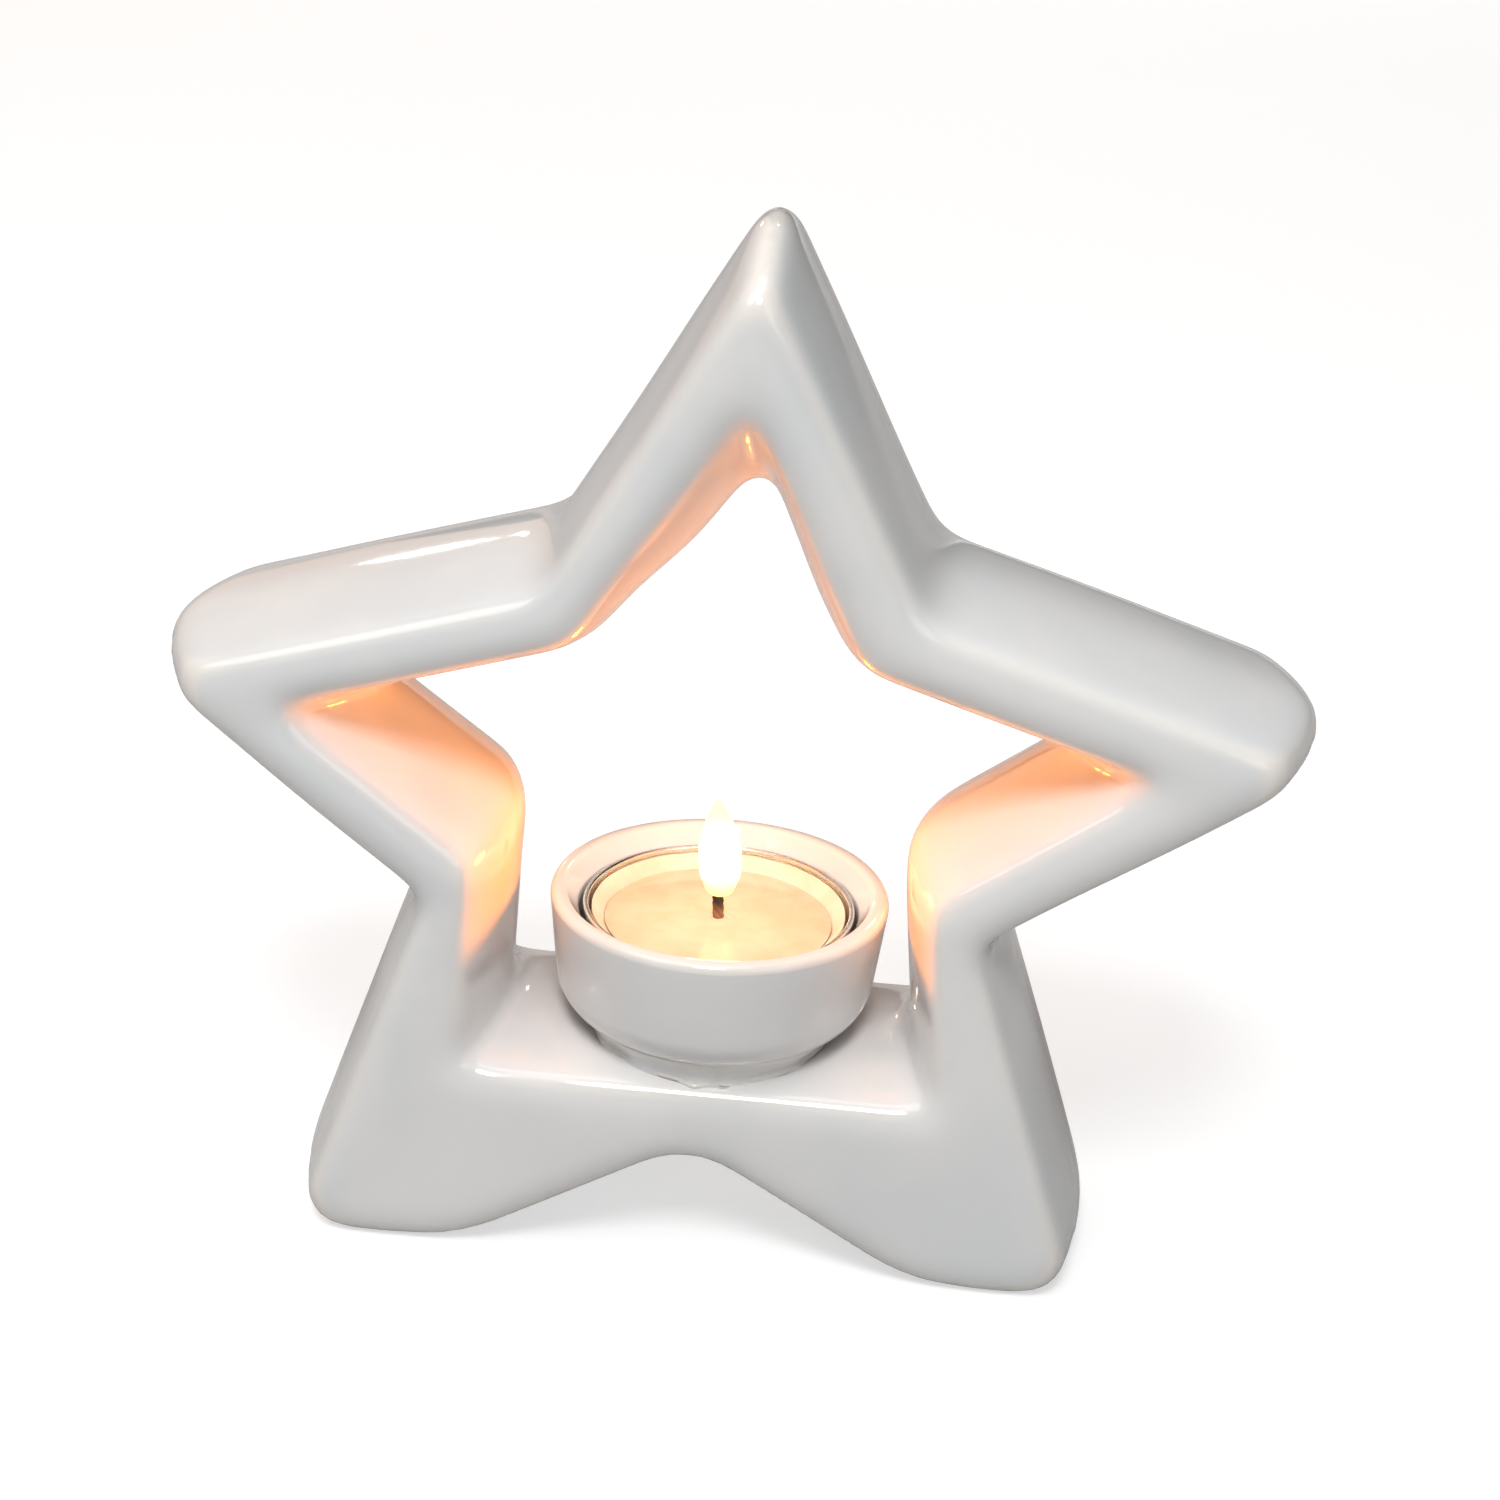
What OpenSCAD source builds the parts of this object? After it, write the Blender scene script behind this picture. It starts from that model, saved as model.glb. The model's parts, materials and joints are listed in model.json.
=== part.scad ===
// Star-shaped ceramic tealight holder with a luted cup and a tealight candle.
// Millimetres, +Z up, front face towards -Y, origin on the ground under the middle.

/* [Star outline at mid depth] */
// Height of the top point before rounding
top_z = 154.5; // [140:0.5:185]
// Half-width of the star at the two upper valleys
valley_x = 27.5; // [26:0.5:31]
// Height of the two upper valleys
valley_z = 104; // [102:0.5:108]
// Half-width of the side points before rounding
arm_x = 85.5; // [80:0.5:104]
// Height of the side points
arm_z = 86.5; // [85:0.5:89]
// Width of the legs at the waist
leg_w = 14.3; // [13.5:0.1:17]
// Height of the waist
waist_z = 54; // [51:0.5:56]
// How far the feet spread out from the waist
foot_spread = 18; // [15:0.5:24]
// Half-width between the insides of the feet
foot_inner_x = 31; // [29:0.5:33]
// Height of the arch between the feet before rounding
arch_z = 18; // [14:0.5:19]

/* [Limbs] */
// Depth of the star from front face to back face
depth = 41; // [39:0.5:50]
// Width of the limbs at mid depth
limb_w = 15.5; // [15:0.1:17]
// How far the outside leans in from mid depth to a face
outer_draft = 2.2; // [1:0.1:2.4]
// How far the window opens from mid depth to a face
window_draft = 4; // [2:0.1:4.2]
// Power of the lean, so that the limbs bulge at mid depth
bulge_power = 1.7; // [1.4:0.1:2.2]
// Radius along the edges of both faces
edge_r = 2.2; // [1.5:0.1:2.4]
// Thickness of the cast wall
wall = 3.4; // [2.5:0.1:3.6]

/* [Window] */
// Room between the cup's rim and the window's waist
side_room = 2.7; // [2:0.1:4]
// How much further out the window is at the shelf than at its waist
shelf_flare = 2; // [1:0.1:3]
// Height of the shelf at mid depth
shelf_z = 32.6; // [31.5:0.1:35]
// How far the shelf falls from mid depth to a face
shelf_fall = 3.2; // [2.6:0.1:3.4]

/* [Tealight] */
// Outer radius of the tin
tin_r = 19; // [18:0.1:23]
// Height of the tin
tin_h = 13.5; // [12:0.5:17]
// Thickness of the tin
tin_wall = 0.3; // [0.2:0.05:0.5]
// How far the wax is below the top of the tin
wax_below_top = 2.3; // [1.5:0.1:3]
// Width of solid wax left around the melted pool
pool_margin = 2.1; // [1:0.1:6]
// Depth of the melted pool
pool_depth = 2.4; // [1:0.1:3]
// Radius of the wick
wick_r = 0.8; // [0.6:0.1:1]
// Length of wick above the wax
wick_above = 6; // [4:0.5:8]

/* [Cup] */
// Clearance around the tin in the cup
tin_clearance = 1; // [0.8:0.1:1.5]
// Thickness of the cup's wall at the rim
cup_wall = 4.5; // [4:0.1:6]
// Thickness of the cup's floor
cup_floor = 4.6; // [4:0.1:6]
// How far the rim stands above the tin
rim_above_tin = 2.4; // [1:0.1:5]
// How much smaller the foot's radius is than the rim's
cup_taper = 8; // [7:0.1:9]
// Radius of the rounded edge above the foot
cup_edge_r = 5.2; // [4.8:0.1:5.6]
// Radius of the rounded rim
rim_round_r = 1.8; // [1:0.1:2]
// How far the foot is let into the shelf
cup_seat_depth = 1.8; // [1.5:0.1:2.2]
// Thickness of the slip around the foot
slip_side = 0.35; // [0.25:0.05:0.5]
// Thickness of the slip under the foot
slip_under = 0.95; // [0.6:0.05:1.1]

/* [Hidden] */
$fn = 96;

// Points along each rounded corner, and steps from mid depth to a face
corner_steps = 5;
lean_steps = 4;
edge_steps = 3;
// Overlap that keeps cut faces apart
cut = 1;
skim = 0.05;

// Radii of the star's corners, outside and around the window
top_corner_r = 2.5;
valley_corner_r = 8.5;
arm_corner_r = 4;
waist_corner_r = 2.5;
foot_corner_r = 5.5;
foot_heel_r = 26;
arch_corner_r = 11;
window_top_r = 3;
window_valley_r = 11;
window_arm_r = 2.4;
window_waist_r = 5;
shelf_corner_r = 2.2;
// Part of a window corner's radius that is lost towards the faces
corner_tightening = 0.4;
// Part of the outer lean that the arch has; the undersides of the feet have none
arch_lean = 0.5;

bore_r = tin_r + tin_clearance;
rim_r = bore_r + cup_wall;
cup_foot_r = rim_r - cup_taper;
window_waist_x = rim_r + side_room;
shelf_x = window_waist_x + shelf_flare;
waist_x = window_waist_x + leg_w;
foot_outer_x = waist_x + foot_spread;

half_depth = depth / 2;
flank_half = half_depth - edge_r;

// The cast wall is thicker behind the faces, and the hollow's corners are tighter
cavity_end_wall = 1.4 * wall;
cavity_half = half_depth - cavity_end_wall;
cavity_middle = 0.6 * cavity_half;
cavity_corner_scale = 0.8;
// The window's form runs past both ends of the hollow
cavity_window_stretch = 1.1;
hub_z = (valley_z + waist_z) / 2;
vent_r = 2;
vent_x = (foot_outer_x + foot_inner_x) / 2;

// Gap under the tin, and how far the slip shows above the shelf
rest_gap = 0.1;
slip_show = 0.4;
seat_z = shelf_z - cup_seat_depth;
cup_h = cup_floor + rest_gap + tin_h + rim_above_tin;
cup_bore_corner_r = 1.5;
// Inside of the rim: a small radius, then a slope down to the bore
inner_lip_r = 1.4;
inner_lip_end = 140;
lip_run = cup_wall - rim_round_r - 0.3;
lip_depth = rim_above_tin + 0.8;
slip_top = cup_seat_depth + slip_show;
tin_z = seat_z + cup_floor + rest_gap;
wax_z = tin_h - wax_below_top;
pool_r = tin_r - tin_wall - pool_margin;
pool_flat_r = 0.7 * pool_r;
pool_edge_r = pool_r - 1.6;
pool_edge_depth = 0.6 * pool_depth;
tin_corner_r = 1.5;
tin_curl_r = 0.5;
sustainer_r = 7;
sustainer_t = 0.3;
neck_r = wick_r + 0.5;
neck_h = 4;

// ---- Outlines ----------------------------------------------------------

// Unit vector along v, and the inward normal of the edge from a to b
function along(v) = v / norm(v);
function inward(a, b) = let (d = along(b - a)) [-d[1], d[0]];

// Corner q of p-q-r, with edge p-q moved in by d1 and edge q-r by d2
function moved_corner(p, q, r, d1, d2) =
    let (n1 = inward(p, q), n2 = inward(q, r), det = n1[0] * n2[1] - n1[1] * n2[0])
    q + [d1 * n2[1] - d2 * n1[1], d2 * n1[0] - d1 * n2[0]] / det;

// Arc that rounds corner q of p-q-r
function corner_arc(p, q, r, radius) =
    let (
        u = along(p - q),
        v = along(r - q),
        half = acos(u * v) / 2,
        centre = q + along(u + v) * radius / sin(half),
        start = q + u * radius / tan(half) - centre,
        end = q + v * radius / tan(half) - centre,
        from = atan2(start[1], start[0]),
        turn = (atan2(end[1], end[0]) - from + 540) % 360 - 180
    )
    [for (i = [0:corner_steps])
        let (a = from + turn * i / corner_steps)
        centre + radius * [cos(a), sin(a)]];

// Closed outline: corners as [point, radius], each edge moved in by its own distance
function outline(corners, moves) =
    let (
        n = len(corners),
        moved = [for (i = [0:n - 1])
            moved_corner(corners[(i + n - 1) % n][0], corners[i][0], corners[(i + 1) % n][0],
                moves[(i + n - 1) % n], moves[i])]
    )
    [for (i = [0:n - 1])
        each corner_arc(moved[(i + n - 1) % n], moved[i], moved[(i + 1) % n], corners[i][1])];

// A half given from top to bottom on the right, made whole by mirroring it
function reversed(list) = [for (i = [len(list) - 1:-1:0]) list[i]];
function mirrored(corner) = [[-corner[0][0], corner[0][1]], corner[1]];
function scaled(corners, k) = [for (c = corners) [c[0], c[1] * k]];

star_right = [
    [[valley_x, valley_z], valley_corner_r],
    [[arm_x, arm_z], arm_corner_r],
    [[waist_x, waist_z], waist_corner_r],
    [[foot_outer_x, 0], foot_corner_r],
    [[foot_inner_x, 0], foot_heel_r]
];
star_top = [[0, top_z], top_corner_r];
star_arch = [[0, arch_z], arch_corner_r];
star_corners = concat(
    [star_top],
    [for (c = star_right) mirrored(c)],
    [star_arch],
    reversed(star_right)
);

// The window's upper edges are parallel to the star's; its lower ones meet the shelf
function limb_corner(p, q, r) = moved_corner(p, q, r, -limb_w, -limb_w);
window_arm = limb_corner(star_right[0][0], star_right[1][0], star_right[2][0]);
waist_slope = (arm_z - waist_z) / (arm_x - waist_x);
window_waist_z = window_arm[1] - waist_slope * (window_arm[0] - window_waist_x);
window_right = [
    [limb_corner(star_top[0], star_right[0][0], star_right[1][0]), window_valley_r],
    [window_arm, window_arm_r],
    [[window_waist_x, window_waist_z], window_waist_r],
    [[shelf_x, shelf_z], shelf_corner_r]
];
window_top = [
    limb_corner([-valley_x, valley_z], star_top[0], star_right[0][0]),
    window_top_r
];
window_corners = concat(
    [window_top],
    [for (c = window_right) mirrored(c)],
    reversed(window_right)
);

// ---- Lofts along the depth ---------------------------------------------

// How far each edge moves for a lean, plus the same extra distance for all of them
function star_moves(lean, extra) =
    let (side = outer_draft * lean + extra, arch = outer_draft * arch_lean * lean + extra)
    [side, side, side, side, extra, arch, arch, extra, side, side, side, side];
function window_moves(lean, extra, shelf_extra) =
    let (side = -window_draft * lean - extra, shelf = -shelf_fall * lean - shelf_extra)
    [side, side, side, side, shelf, side, side, side, side];

// Share of the lean that is reached at a depth
function lean_at(y) = pow(abs(y) / flank_half, bulge_power);

// Half of the levels, each [depth, lean, roll inwards along the face's edge]
half_levels = concat(
    [for (i = [0:lean_steps]) let (y = flank_half * i / lean_steps) [y, lean_at(y), 0]],
    [for (i = [1:edge_steps]) let (a = 90 * i / edge_steps)
        [flank_half + edge_r * sin(a), 1, edge_r * (1 - cos(a))]]
);
function both_ways(levels) = concat(
    [for (i = [len(levels) - 1:-1:1]) [-levels[i][0], levels[i][1], levels[i][2]]],
    levels
);
star_levels = both_ways(half_levels);
// The window's last ring stands just proud of the face, so that the face cuts it cleanly
window_levels = both_ways(concat(
    [for (i = [0:len(half_levels) - 2]) half_levels[i]],
    [[half_depth + skim, 1, edge_r], [half_depth + cut, 1, edge_r]]
));
cavity_levels = both_ways([for (y = [0, cavity_middle, cavity_half]) [y, lean_at(y), 0]]);

// Closed solid through one ring of points per level; each end is a fan around the hub,
// which every point of these outlines can see
module loft(rings, depths) {
    n = len(rings[0]);
    last = len(rings) - 1;
    front_hub = (last + 1) * n;
    back_hub = front_hub + 1;
    points = concat(
        [for (k = [0:last]) for (p = rings[k]) [p[0], depths[k], p[1]]],
        [[0, depths[0], hub_z], [0, depths[last], hub_z]]
    );
    sides = [for (k = [0:last - 1]) for (i = [0:n - 1])
        let (a = k * n + i, b = k * n + (i + 1) % n)
        each [[a, b, b + n], [a, b + n, a + n]]];
    front = [for (i = [0:n - 1]) [front_hub, (i + 1) % n, i]];
    back = [for (i = [0:n - 1]) [back_hub, last * n + i, last * n + (i + 1) % n]];
    polyhedron(points, concat(front, sides, back), convexity = 6);
}

module star_blank() {
    loft(
        [for (l = star_levels) outline(star_corners, star_moves(l[1], l[2]))],
        [for (l = star_levels) l[0]]
    );
}

module window_cutter() {
    loft(
        [for (l = window_levels)
            outline(scaled(window_corners, 1 - corner_tightening * l[1]),
                window_moves(l[1], l[2], l[2]))],
        [for (l = window_levels) l[0]]
    );
}

// The hollow that the slip leaves when it is poured out of the mould
module cavity() {
    shelf_wall = wall + cup_seat_depth + slip_under - slip_show;
    difference() {
        loft(
            [for (l = cavity_levels)
                outline(scaled(star_corners, cavity_corner_scale), star_moves(l[1], wall))],
            [for (l = cavity_levels) l[0]]
        );
        scale([1, cavity_window_stretch, 1]) loft(
            [for (l = cavity_levels)
                outline(window_corners, window_moves(l[1], wall, shelf_wall))],
            [for (l = cavity_levels) l[0]]
        );
    }
}

// ---- Turned profiles ---------------------------------------------------

function arc(centre, radius, from, to, steps = 8) =
    [for (i = [0:steps])
        let (a = from + (to - from) * i / steps)
        centre + radius * [cos(a), sin(a)]];

// Foot of the cup as a solid, grown by side around its edge and by under below it
module cup_foot_form(side, under, top) {
    reach = acos((cup_edge_r - top) / (cup_edge_r + side)) - 90;
    rotate_extrude() polygon(concat(
        [[0, -under], [cup_foot_r, -under]],
        arc([cup_foot_r, cup_edge_r], cup_edge_r + side, -90, reach),
        [[0, top]]
    ));
}

// ---- Sub-parts ---------------------------------------------------------

module star_body() {
    color([0.95, 0.95, 0.94]) difference() {
        star_blank();
        window_cutter();
        cavity();
        translate([0, 0, seat_z]) cup_foot_form(slip_side, slip_under, slip_top);
        for (side = [-1, 1])
            translate([side * vent_x, 0, -cut]) cylinder(r = vent_r, h = wall + 2 * cut);
    }
}

module luting_slip() {
    color([0.9, 0.9, 0.88]) translate([0, 0, seat_z]) difference() {
        cup_foot_form(slip_side, slip_under, slip_top);
        cup_foot_form(0, 0, slip_top + cut);
    }
}

module tealight_cup() {
    edge_end = -8;
    rim_centre = [rim_r - rim_round_r, cup_h - rim_round_r];
    color([0.96, 0.95, 0.93]) translate([0, 0, seat_z]) rotate_extrude() polygon(concat(
        [[0, 0]],
        arc([cup_foot_r, cup_edge_r], cup_edge_r, -90, edge_end),
        arc(rim_centre, rim_round_r, 0, 90),
        arc([bore_r + lip_run, cup_h - inner_lip_r], inner_lip_r, 90, inner_lip_end),
        [[bore_r, cup_h - lip_depth]],
        arc([bore_r - cup_bore_corner_r, cup_floor + cup_bore_corner_r], cup_bore_corner_r, 0, -90),
        [[0, cup_floor]]
    ));
}

module tealight_tin() {
    inner_corner_r = tin_corner_r - tin_wall;
    color([0.82, 0.83, 0.84]) translate([0, 0, tin_z]) rotate_extrude() union() {
        polygon(concat(
            [[0, 0]],
            arc([tin_r - tin_corner_r, tin_corner_r], tin_corner_r, -90, 0),
            [[tin_r, tin_h - tin_curl_r], [tin_r - tin_wall, tin_h - tin_curl_r]],
            arc([tin_r - tin_corner_r, tin_corner_r], inner_corner_r, 0, -90),
            [[0, tin_wall]]
        ));
        translate([tin_r - tin_wall / 2, tin_h - tin_curl_r]) circle(r = tin_curl_r, $fn = 24);
    }
}

module wick_sustainer() {
    color([0.7, 0.71, 0.72]) translate([0, 0, tin_z + tin_wall]) difference() {
        union() {
            cylinder(r = sustainer_r, h = sustainer_t);
            cylinder(r = neck_r, h = neck_h);
        }
        translate([0, 0, -cut]) cylinder(r = wick_r, h = neck_h + 2 * cut);
    }
}

module wick() {
    color([0.42, 0.27, 0.16]) translate([0, 0, tin_z + tin_wall])
        cylinder(r = wick_r, h = wax_z - tin_wall + wick_above);
}

module pool_form() {
    rotate_extrude() polygon([
        [0, wax_z - pool_depth],
        [pool_flat_r, wax_z - pool_depth],
        [pool_edge_r, wax_z - pool_edge_depth],
        [pool_r, wax_z],
        [0, wax_z]
    ]);
}

module wax() {
    inner_r = tin_r - tin_wall;
    corner_r = tin_corner_r - tin_wall;
    color([1, 0.95, 0.83]) translate([0, 0, tin_z]) difference() {
        rotate_extrude() polygon(concat(
            [[0, tin_wall]],
            arc([inner_r - corner_r, tin_corner_r], corner_r, -90, 0),
            [[inner_r, wax_z], [0, wax_z]]
        ));
        pool_form();
        cylinder(r = sustainer_r, h = tin_wall + sustainer_t);
        cylinder(r = neck_r, h = tin_wall + neck_h);
        cylinder(r = wick_r, h = wax_z + cut);
    }
}

module wax_pool() {
    color([1, 0.9, 0.7]) translate([0, 0, tin_z]) difference() {
        pool_form();
        cylinder(r = wick_r, h = wax_z + cut);
    }
}

star_body();
luting_slip();
tealight_cup();
tealight_tin();
wick_sustainer();
wick();
wax();
wax_pool();
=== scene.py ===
"""Looks of the star tealight holder: glazed star, cup, slip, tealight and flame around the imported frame.

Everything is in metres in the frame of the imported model: +Z up, the front towards -Y.
"""

import json
import logging
import math
from dataclasses import dataclass
from enum import Enum
from typing import Any, Callable

import bmesh
import bpy
from mathutils import Matrix, Vector, noise

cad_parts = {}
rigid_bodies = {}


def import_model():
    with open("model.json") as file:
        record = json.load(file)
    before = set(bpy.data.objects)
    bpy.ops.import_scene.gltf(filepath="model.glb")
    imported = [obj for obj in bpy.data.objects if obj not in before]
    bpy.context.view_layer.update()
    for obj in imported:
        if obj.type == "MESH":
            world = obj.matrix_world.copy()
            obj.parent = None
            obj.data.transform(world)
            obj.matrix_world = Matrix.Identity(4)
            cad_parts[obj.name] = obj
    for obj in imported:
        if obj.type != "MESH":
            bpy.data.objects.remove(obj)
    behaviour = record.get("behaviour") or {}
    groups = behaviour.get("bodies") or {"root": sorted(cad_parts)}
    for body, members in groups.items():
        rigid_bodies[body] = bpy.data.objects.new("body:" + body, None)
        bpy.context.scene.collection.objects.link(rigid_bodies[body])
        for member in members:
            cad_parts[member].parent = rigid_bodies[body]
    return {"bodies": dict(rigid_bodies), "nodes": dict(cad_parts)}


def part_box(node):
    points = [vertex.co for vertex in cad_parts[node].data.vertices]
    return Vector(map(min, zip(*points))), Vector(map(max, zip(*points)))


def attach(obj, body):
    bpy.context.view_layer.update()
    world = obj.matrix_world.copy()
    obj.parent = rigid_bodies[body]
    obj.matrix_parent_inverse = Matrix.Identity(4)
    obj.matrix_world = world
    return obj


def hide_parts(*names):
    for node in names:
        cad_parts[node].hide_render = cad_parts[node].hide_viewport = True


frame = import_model()

LOG = logging.getLogger("star_tealight_holder")
MM = 0.001
Colour = tuple[float, float, float]
WHITE: Colour = (1.0, 1.0, 1.0)
BLACK: Colour = (0.0, 0.0, 0.0)


class Slot(Enum):
    """The record's material slots."""

    WHITE_GLAZE = "white_glaze"
    SLIP_GLAZE = "slip_glaze"
    TIN_FOIL = "tin_foil"
    SUSTAINER_STEEL = "sustainer_steel"
    WICK_COTTON = "wick_cotton"
    CANDLE_WAX = "candle_wax"
    MELTED_WAX = "melted_wax"


class Body(Enum):
    """The bodies that a piece can ride on."""

    HOLDER = "holder"
    TEALIGHT = "tealight"


# ---- Node graphs --------------------------------------------------------------------------------


class Graph:
    """A node tree that is being built, with short calls to place and link its nodes."""

    def __init__(self, tree: bpy.types.NodeTree) -> None:
        """Starts from an empty tree.

        Args:
            tree: The node tree of a material or of a node group.
        """
        self.tree = tree
        tree.nodes.clear()

    def add(self, kind: str, values: dict[Any, Any] | None = None, **settings: Any) -> bpy.types.Node:
        """Places one node.

        Args:
            kind: The node's type name without "ShaderNode".
            values: Input name or number to a value, or to an output socket that is linked to it.
            settings: Properties of the node itself.

        Returns:
            The new node.
        """
        node = self.tree.nodes.new("ShaderNode" + kind)
        for key, value in settings.items():
            setattr(node, key, value)
        for key, value in (values or {}).items():
            if isinstance(value, bpy.types.NodeSocket):
                self.tree.links.new(value, node.inputs[key])
            else:
                node.inputs[key].default_value = value
        return node

    def mixed(self, share: Any, first: Any, second: Any) -> bpy.types.NodeSocket:
        """Mixes two colours.

        Args:
            share: Value or socket, 0 for the first colour and 1 for the second.
            first: Colour or socket.
            second: Colour or socket.

        Returns:
            The mixed colour's socket.
        """
        node = self.add("Mix", data_type="RGBA")
        for number, value in ((0, share), (6, first), (7, second)):
            if isinstance(value, bpy.types.NodeSocket):
                self.tree.links.new(value, node.inputs[number])
            else:
                node.inputs[number].default_value = value
        return node.outputs[2]

    def remapped(self, value: bpy.types.NodeSocket, low: float, high: float,
                 to_low: float = 0.0, to_high: float = 1.0) -> bpy.types.NodeSocket:
        """Stretches a value from one range to another, smoothly and within its ends.

        Args:
            value: The socket to stretch.
            low: Value that becomes to_low.
            high: Value that becomes to_high.
            to_low: New low end.
            to_high: New high end.

        Returns:
            The new value's socket.
        """
        node = self.add("MapRange", {0: value, 1: low, 2: high, 3: to_low, 4: to_high},
                        interpolation_type="SMOOTHSTEP")
        return node.outputs[0]

    def maths(self, operation: str, first: Any, second: Any = 0.0) -> bpy.types.NodeSocket:
        """Joins two values by one operation.

        Args:
            operation: The name of the Math node's operation.
            first: Value or socket.
            second: Value or socket.

        Returns:
            The result's socket.
        """
        return self.add("Math", {0: first, 1: second}, operation=operation).outputs[0]


def new_group(name: str, inputs: dict[str, float], outputs: dict[str, str]) -> tuple[Graph, Any, Any]:
    """Makes an empty node group with named sockets.

    Args:
        name: The group's name.
        inputs: Names of the number inputs, with their usual values.
        outputs: Names of the outputs, with "Color" or "Float".

    Returns:
        The group's graph, its input node and its output node.
    """
    tree = bpy.data.node_groups.new(name, "ShaderNodeTree")
    for label, value in inputs.items():
        socket = tree.interface.new_socket(label, in_out="INPUT", socket_type="NodeSocketFloat")
        socket.default_value = value
    for label, kind in outputs.items():
        tree.interface.new_socket(label, in_out="OUTPUT", socket_type="NodeSocket" + kind)
    graph = Graph(tree)
    entry = tree.nodes.new("NodeGroupInput")
    leave = tree.nodes.new("NodeGroupOutput")
    return graph, entry, leave


def clouds_group() -> bpy.types.NodeTree:
    """Makes the group of soft uneven patches that the glaze and the wax share.

    Returns:
        A group with a Patches mask and a Height.
    """
    graph, entry, leave = new_group("soft_clouds", {"Scale": 40.0, "Fine": 600.0},
                                    {"Patches": "Float", "Height": "Float"})
    place = graph.add("TexCoord").outputs["Object"]
    wide = graph.add("TexNoise", {"Vector": place, "Scale": entry.outputs["Scale"], "Detail": 3.0,
                                  "Roughness": 0.5, "Distortion": 0.4})
    fine = graph.add("TexNoise", {"Vector": place, "Scale": entry.outputs["Fine"], "Detail": 2.0})
    patches = graph.remapped(wide.outputs[0], 0.32, 0.68)
    height = graph.maths("ADD", graph.maths("MULTIPLY", wide.outputs[0], 0.8),
                         graph.maths("MULTIPLY", fine.outputs[0], 0.06))
    graph.tree.links.new(patches, leave.inputs["Patches"])
    graph.tree.links.new(height, leave.inputs["Height"])
    return graph.tree


def specks_group() -> bpy.types.NodeTree:
    """Makes the group of rare small round specks: pinholes in a glaze, soot and dust on wax.

    Returns:
        A group whose Specks mask is 1 inside a speck.
    """
    graph, entry, leave = new_group("rare_specks", {"Scale": 45.0, "Size": 0.02, "Share": 0.3},
                                    {"Specks": "Float"})
    place = graph.add("TexCoord").outputs["Object"]
    cells = graph.add("TexVoronoi", {"Vector": place, "Scale": entry.outputs["Scale"]})
    small = graph.maths("LESS_THAN", cells.outputs["Distance"], entry.outputs["Size"])
    chance = graph.add("SeparateColor", {0: cells.outputs["Color"]})
    chosen = graph.maths("LESS_THAN", chance.outputs[0], entry.outputs["Share"])
    graph.tree.links.new(graph.maths("MULTIPLY", small, chosen), leave.inputs["Specks"])
    return graph.tree


class Groups:
    """The shared node groups, each made once."""

    made: dict[str, bpy.types.NodeTree] = {}

    @classmethod
    def place(cls, graph: Graph, maker: Callable[[], bpy.types.NodeTree], **values: float) -> Any:
        """Places a shared group in a graph.

        Args:
            graph: The graph of a material.
            maker: The function that makes the group the first time.
            values: Input values by name.

        Returns:
            The group node's outputs.
        """
        if maker.__name__ not in cls.made:
            cls.made[maker.__name__] = maker()
        node = graph.add("Group", node_tree=cls.made[maker.__name__])
        for key, value in values.items():
            node.inputs[key].default_value = value
        return node.outputs


def new_material(name: str) -> tuple[bpy.types.Material, Graph, bpy.types.Node]:
    """Makes a material with one Principled shader on its output.

    Args:
        name: The material's name.

    Returns:
        The material, its graph and its Principled node.
    """
    material = bpy.data.materials.new(name)
    material.use_nodes = True
    graph = Graph(material.node_tree)
    shader = graph.add("BsdfPrincipled")
    graph.add("OutputMaterial", {"Surface": shader.outputs[0]})
    return material, graph, shader


def set_plain(shader: bpy.types.Node, **values: Any) -> None:
    """Sets plain values on a Principled shader.

    Args:
        shader: The Principled node.
        values: Socket names with _ for a space, and their values.
    """
    for key, value in values.items():
        shader.inputs[key.replace("_", " ")].default_value = value


def set_linked(graph: Graph, shader: bpy.types.Node, **sockets: bpy.types.NodeSocket) -> None:
    """Links outputs to a Principled shader.

    Args:
        graph: The material's graph.
        shader: The Principled node.
        sockets: Socket names with _ for a space, and the outputs that they take.
    """
    for key, socket in sockets.items():
        graph.tree.links.new(socket, shader.inputs[key.replace("_", " ")])


def solid(colour: Colour) -> tuple[float, float, float, float]:
    """Returns a colour with full alpha."""
    return (*colour, 1.0)


# ---- Finishes -----------------------------------------------------------------------------------


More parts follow.
